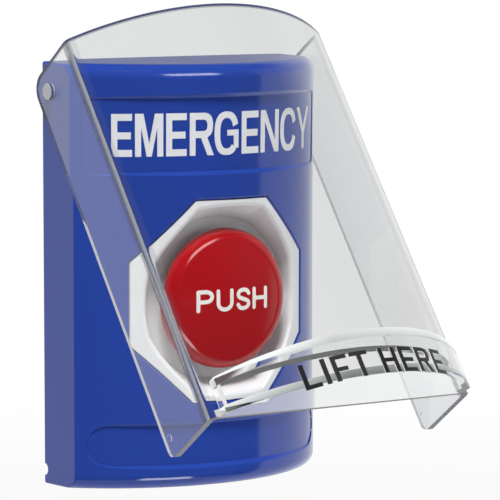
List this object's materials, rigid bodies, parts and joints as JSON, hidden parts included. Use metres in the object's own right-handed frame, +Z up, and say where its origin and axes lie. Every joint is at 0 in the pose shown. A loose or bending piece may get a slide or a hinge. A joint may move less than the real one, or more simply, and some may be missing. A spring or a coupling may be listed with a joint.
{
  "type": "emergency button station",
  "caption": "Wall-mounted emergency push-button station: crowned housing, domed button in an octagonal dish and a clear hinged lift-up cover.",
  "frame": {"origin": "on the wall plane, midway between the two wall-box slots, at the middle of the housing's back", "axes": "+X to the right of a person facing the station, -Y towards that person, +Z up"},
  "size_m": [0.087, 0.1105, 0.1374],
  "materials": {
    "blue_moulding": "gloss",
    "white_moulding": "gloss",
    "red_moulding": "gloss",
    "black_moulding": "matt",
    "grey_moulding": "matt",
    "zinc": "zinc plated",
    "spring_steel": "bright",
    "brass_plate": "plain",
    "clear_moulding": "polished clear plastic",
    "pin_grey": "satin"
  },
  "bodies": {
    "station": {"housing": "blue_moulding", "bezel_plate": "white_moulding", "guide_sleeve": "black_moulding", "lock_washer": "zinc", "panel_nut": "black_moulding", "return_spring": "spring_steel", "block_carrier": "grey_moulding", "contact_block_left": "grey_moulding", "contact_block_right": "grey_moulding", "terminal_screws": "zinc", "terminal_clamps": "brass_plate", "back_plate": "zinc", "housing_screws": "zinc", "pivot_pin_left": "pin_grey", "pivot_pin_right": "pin_grey"},
    "button": {"button_head": "red_moulding", "button_stem": "black_moulding", "pusher_disc": "black_moulding", "plunger_left": "black_moulding", "plunger_right": "black_moulding"},
    "cover": {"cover": "clear_moulding"}
  },
  "joints": [
    {"name": "button_slide", "type": "slide", "parent": "station", "child": "button", "axis": [0, 1, 0], "range_m": [0, 0.003], "stiffness_N_per_m": 700, "springref_m": -0.004, "deforming": ["return_spring"]},
    {"name": "cover_hinge", "type": "hinge", "parent": "station", "child": "cover", "pos_m": [0, -0.0063, 0.0522], "axis": [-1, 0, 0], "range_deg": [-36.3, 52]}
  ]
}
